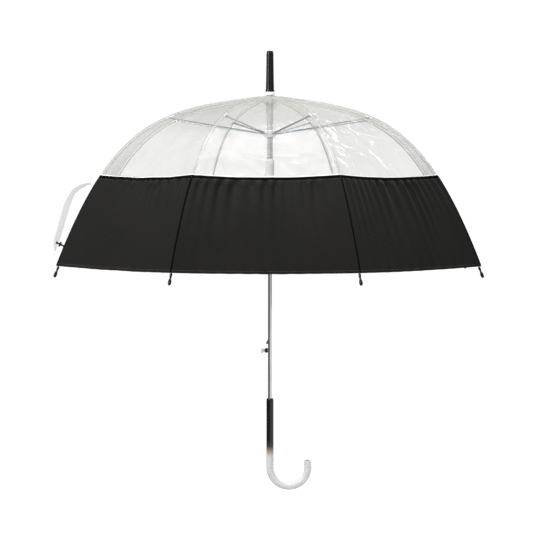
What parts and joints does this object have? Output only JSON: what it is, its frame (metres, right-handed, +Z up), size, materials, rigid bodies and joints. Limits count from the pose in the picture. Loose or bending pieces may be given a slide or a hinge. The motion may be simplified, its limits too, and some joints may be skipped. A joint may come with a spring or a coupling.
{
  "type": "umbrella",
  "caption": "Dome stick umbrella with a clear film top, a dark fabric band, auto-open runner, folding ribs and stretchers, and a clear hook handle.",
  "frame": {"origin": "middle of the grip, on the shaft's axis, where a hand holds the umbrella", "axes": "+Z up along the shaft to the ferrule, +X the way the hook opens, -Y the front"},
  "size_m": [0.8136, 0.7962, 0.855],
  "materials": {
    "clear_film": "glossy clear film",
    "strap_film": "milky clear film",
    "black_fabric": "plain woven, matte",
    "chromed_steel": "polished",
    "spring_steel": "satin",
    "stretcher_steel": "bright plated",
    "rib_fibreglass": "satin",
    "white_plastic": "satin moulded",
    "black_plastic": "satin moulded",
    "clear_acrylic": "polished, black fade towards the shaft"
  },
  "bodies": {
    "pole": {"shaft_tube": "chromed_steel", "handle": "clear_acrylic", "ferrule": "black_plastic", "crown": "white_plastic", "button_housing": "black_plastic"},
    "runner": {"runner_ring": "white_plastic", "runner_spring": "spring_steel", "runner_sleeve": "white_plastic"},
    "button": {"release_button": "clear_acrylic"},
    "catch": {"shaft_catch": "spring_steel"},
    "rib_1": {"rib_1": "rib_fibreglass", "clear_panel_1": "clear_film"},
    "rib_end_1": {"rib_end_1": "rib_fibreglass", "rib_tip_1": "black_plastic", "band_panel_1": "black_fabric"},
    "stretcher_1": {"stretcher_1": "stretcher_steel"},
    "rib_2": {"rib_2": "rib_fibreglass", "clear_panel_2": "clear_film"},
    "rib_end_2": {"rib_end_2": "rib_fibreglass", "rib_tip_2": "black_plastic", "band_panel_2": "black_fabric"},
    "stretcher_2": {"stretcher_2": "stretcher_steel"},
    "rib_3": {"rib_3": "rib_fibreglass", "clear_panel_3": "clear_film"},
    "rib_end_3": {"rib_end_3": "rib_fibreglass", "rib_tip_3": "black_plastic", "band_panel_3": "black_fabric"},
    "stretcher_3": {"stretcher_3": "stretcher_steel"},
    "rib_4": {"rib_4": "rib_fibreglass", "clear_panel_4": "clear_film"},
    "rib_end_4": {"rib_end_4": "rib_fibreglass", "rib_tip_4": "black_plastic", "band_panel_4": "black_fabric"},
    "stretcher_4": {"stretcher_4": "stretcher_steel"},
    "rib_5": {"rib_5": "rib_fibreglass", "clear_panel_5": "clear_film"},
    "rib_end_5": {"rib_end_5": "rib_fibreglass", "rib_tip_5": "black_plastic", "band_panel_5": "black_fabric", "tie_strap": "strap_film", "strap_snap": "black_plastic"},
    "stretcher_5": {"stretcher_5": "stretcher_steel"},
    "rib_6": {"rib_6": "rib_fibreglass", "clear_panel_6": "clear_film"},
    "rib_end_6": {"rib_end_6": "rib_fibreglass", "rib_tip_6": "black_plastic", "band_panel_6": "black_fabric"},
    "stretcher_6": {"stretcher_6": "stretcher_steel"},
    "rib_7": {"rib_7": "rib_fibreglass", "clear_panel_7": "clear_film"},
    "rib_end_7": {"rib_end_7": "rib_fibreglass", "rib_tip_7": "black_plastic", "band_panel_7": "black_fabric"},
    "stretcher_7": {"stretcher_7": "stretcher_steel"},
    "rib_8": {"rib_8": "rib_fibreglass", "clear_panel_8": "clear_film"},
    "rib_end_8": {"rib_end_8": "rib_fibreglass", "rib_tip_8": "black_plastic", "band_panel_8": "black_fabric"},
    "stretcher_8": {"stretcher_8": "stretcher_steel"}
  },
  "joints": [
    {"name": "runner_slide", "type": "slide", "parent": "pole", "child": "runner", "axis": [0, 0, 1], "range_m": [-0.31, 0], "stiffness_N_per_m": 30, "springref_m": 0.3},
    {"name": "button_press", "type": "slide", "parent": "pole", "child": "button", "axis": [1, 0, 0], "range_m": [0, 0.003], "stiffness_N_per_m": 400, "springref_m": -0.002},
    {"name": "catch_press", "type": "slide", "parent": "pole", "child": "catch", "axis": [1, 0, 0], "range_m": [0, 0.003]},
    {"name": "rib_hinge_1", "type": "hinge", "parent": "pole", "child": "rib_1", "pos_m": [0.00924, 0.00383, 0.653], "axis": [-0.3827, 0.9239, 0], "range_deg": [0, 61.37], "deforming": ["clear_panel_1"]},
    {"name": "rib_flex_1", "type": "hinge", "parent": "rib_1", "child": "rib_end_1", "pos_m": [0.31186, 0.12918, 0.49775], "axis": [-0.3827, 0.9239, 0], "range_deg": [-33.49, 0], "deforming": ["band_panel_1"]},
    {"name": "stretcher_hinge_1", "type": "hinge", "parent": "rib_1", "child": "stretcher_1", "pos_m": [0.1894, 0.07845, 0.61096], "axis": [-0.3827, 0.9239, 0], "range_deg": [-126.52, 0]},
    {"name": "rib_hinge_2", "type": "hinge", "parent": "pole", "child": "rib_2", "pos_m": [0.00383, 0.00924, 0.653], "axis": [-0.9239, 0.3827, 0], "range_deg": [0, 61.37], "deforming": ["clear_panel_2"]},
    {"name": "rib_flex_2", "type": "hinge", "parent": "rib_2", "child": "rib_end_2", "pos_m": [0.12918, 0.31186, 0.49775], "axis": [-0.9239, 0.3827, 0], "range_deg": [-33.49, 0], "deforming": ["band_panel_2"]},
    {"name": "stretcher_hinge_2", "type": "hinge", "parent": "rib_2", "child": "stretcher_2", "pos_m": [0.07845, 0.1894, 0.61096], "axis": [-0.9239, 0.3827, 0], "range_deg": [-126.52, 0]},
    {"name": "rib_hinge_3", "type": "hinge", "parent": "pole", "child": "rib_3", "pos_m": [-0.00383, 0.00924, 0.653], "axis": [-0.9239, -0.3827, 0], "range_deg": [0, 61.37], "deforming": ["clear_panel_3"]},
    {"name": "rib_flex_3", "type": "hinge", "parent": "rib_3", "child": "rib_end_3", "pos_m": [-0.12918, 0.31186, 0.49775], "axis": [-0.9239, -0.3827, 0], "range_deg": [-33.49, 0], "deforming": ["band_panel_3"]},
    {"name": "stretcher_hinge_3", "type": "hinge", "parent": "rib_3", "child": "stretcher_3", "pos_m": [-0.07845, 0.1894, 0.61096], "axis": [-0.9239, -0.3827, 0], "range_deg": [-126.52, 0]},
    {"name": "rib_hinge_4", "type": "hinge", "parent": "pole", "child": "rib_4", "pos_m": [-0.00924, 0.00383, 0.653], "axis": [-0.3827, -0.9239, 0], "range_deg": [0, 61.37], "deforming": ["clear_panel_4"]},
    {"name": "rib_flex_4", "type": "hinge", "parent": "rib_4", "child": "rib_end_4", "pos_m": [-0.31186, 0.12918, 0.49775], "axis": [-0.3827, -0.9239, 0], "range_deg": [-33.49, 0], "deforming": ["band_panel_4"]},
    {"name": "stretcher_hinge_4", "type": "hinge", "parent": "rib_4", "child": "stretcher_4", "pos_m": [-0.1894, 0.07845, 0.61096], "axis": [-0.3827, -0.9239, 0], "range_deg": [-126.52, 0]},
    {"name": "rib_hinge_5", "type": "hinge", "parent": "pole", "child": "rib_5", "pos_m": [-0.00924, -0.00383, 0.653], "axis": [0.3827, -0.9239, 0], "range_deg": [0, 61.37], "deforming": ["clear_panel_5"]},
    {"name": "rib_flex_5", "type": "hinge", "parent": "rib_5", "child": "rib_end_5", "pos_m": [-0.31186, -0.12918, 0.49775], "axis": [0.3827, -0.9239, 0], "range_deg": [-33.49, 0], "deforming": ["band_panel_5", "tie_strap"]},
    {"name": "stretcher_hinge_5", "type": "hinge", "parent": "rib_5", "child": "stretcher_5", "pos_m": [-0.1894, -0.07845, 0.61096], "axis": [0.3827, -0.9239, 0], "range_deg": [-126.52, 0]},
    {"name": "rib_hinge_6", "type": "hinge", "parent": "pole", "child": "rib_6", "pos_m": [-0.00383, -0.00924, 0.653], "axis": [0.9239, -0.3827, 0], "range_deg": [0, 61.37], "deforming": ["clear_panel_6"]},
    {"name": "rib_flex_6", "type": "hinge", "parent": "rib_6", "child": "rib_end_6", "pos_m": [-0.12918, -0.31186, 0.49775], "axis": [0.9239, -0.3827, 0], "range_deg": [-33.49, 0], "deforming": ["band_panel_6"]},
    {"name": "stretcher_hinge_6", "type": "hinge", "parent": "rib_6", "child": "stretcher_6", "pos_m": [-0.07845, -0.1894, 0.61096], "axis": [0.9239, -0.3827, 0], "range_deg": [-126.52, 0]},
    {"name": "rib_hinge_7", "type": "hinge", "parent": "pole", "child": "rib_7", "pos_m": [0.00383, -0.00924, 0.653], "axis": [0.9239, 0.3827, 0], "range_deg": [0, 61.37], "deforming": ["clear_panel_7"]},
    {"name": "rib_flex_7", "type": "hinge", "parent": "rib_7", "child": "rib_end_7", "pos_m": [0.12918, -0.31186, 0.49775], "axis": [0.9239, 0.3827, 0], "range_deg": [-33.49, 0], "deforming": ["band_panel_7"]},
    {"name": "stretcher_hinge_7", "type": "hinge", "parent": "rib_7", "child": "stretcher_7", "pos_m": [0.07845, -0.1894, 0.61096], "axis": [0.9239, 0.3827, 0], "range_deg": [-126.52, 0]},
    {"name": "rib_hinge_8", "type": "hinge", "parent": "pole", "child": "rib_8", "pos_m": [0.00924, -0.00383, 0.653], "axis": [0.3827, 0.9239, 0], "range_deg": [0, 61.37], "deforming": ["clear_panel_8"]},
    {"name": "rib_flex_8", "type": "hinge", "parent": "rib_8", "child": "rib_end_8", "pos_m": [0.31186, -0.12918, 0.49775], "axis": [0.3827, 0.9239, 0], "range_deg": [-33.49, 0], "deforming": ["band_panel_8"]},
    {"name": "stretcher_hinge_8", "type": "hinge", "parent": "rib_8", "child": "stretcher_8", "pos_m": [0.1894, -0.07845, 0.61096], "axis": [0.3827, 0.9239, 0], "range_deg": [-126.52, 0]}
  ],
  "couplings": [
    {"joint": "catch_press", "follows": "button_press", "ratio": 1},
    {"joint": "rib_hinge_1", "follows": "runner_slide", "rad_per_m": -3.455},
    {"joint": "rib_flex_1", "follows": "runner_slide", "rad_per_m": 1.8854},
    {"joint": "stretcher_hinge_1", "follows": "runner_slide", "rad_per_m": 7.1228},
    {"joint": "rib_hinge_2", "follows": "runner_slide", "rad_per_m": -3.455},
    {"joint": "rib_flex_2", "follows": "runner_slide", "rad_per_m": 1.8854},
    {"joint": "stretcher_hinge_2", "follows": "runner_slide", "rad_per_m": 7.1228},
    {"joint": "rib_hinge_3", "follows": "runner_slide", "rad_per_m": -3.455},
    {"joint": "rib_flex_3", "follows": "runner_slide", "rad_per_m": 1.8854},
    {"joint": "stretcher_hinge_3", "follows": "runner_slide", "rad_per_m": 7.1228},
    {"joint": "rib_hinge_4", "follows": "runner_slide", "rad_per_m": -3.455},
    {"joint": "rib_flex_4", "follows": "runner_slide", "rad_per_m": 1.8854},
    {"joint": "stretcher_hinge_4", "follows": "runner_slide", "rad_per_m": 7.1228},
    {"joint": "rib_hinge_5", "follows": "runner_slide", "rad_per_m": -3.455},
    {"joint": "rib_flex_5", "follows": "runner_slide", "rad_per_m": 1.8854},
    {"joint": "stretcher_hinge_5", "follows": "runner_slide", "rad_per_m": 7.1228},
    {"joint": "rib_hinge_6", "follows": "runner_slide", "rad_per_m": -3.455},
    {"joint": "rib_flex_6", "follows": "runner_slide", "rad_per_m": 1.8854},
    {"joint": "stretcher_hinge_6", "follows": "runner_slide", "rad_per_m": 7.1228},
    {"joint": "rib_hinge_7", "follows": "runner_slide", "rad_per_m": -3.455},
    {"joint": "rib_flex_7", "follows": "runner_slide", "rad_per_m": 1.8854},
    {"joint": "stretcher_hinge_7", "follows": "runner_slide", "rad_per_m": 7.1228},
    {"joint": "rib_hinge_8", "follows": "runner_slide", "rad_per_m": -3.455},
    {"joint": "rib_flex_8", "follows": "runner_slide", "rad_per_m": 1.8854},
    {"joint": "stretcher_hinge_8", "follows": "runner_slide", "rad_per_m": 7.1228}
  ]
}
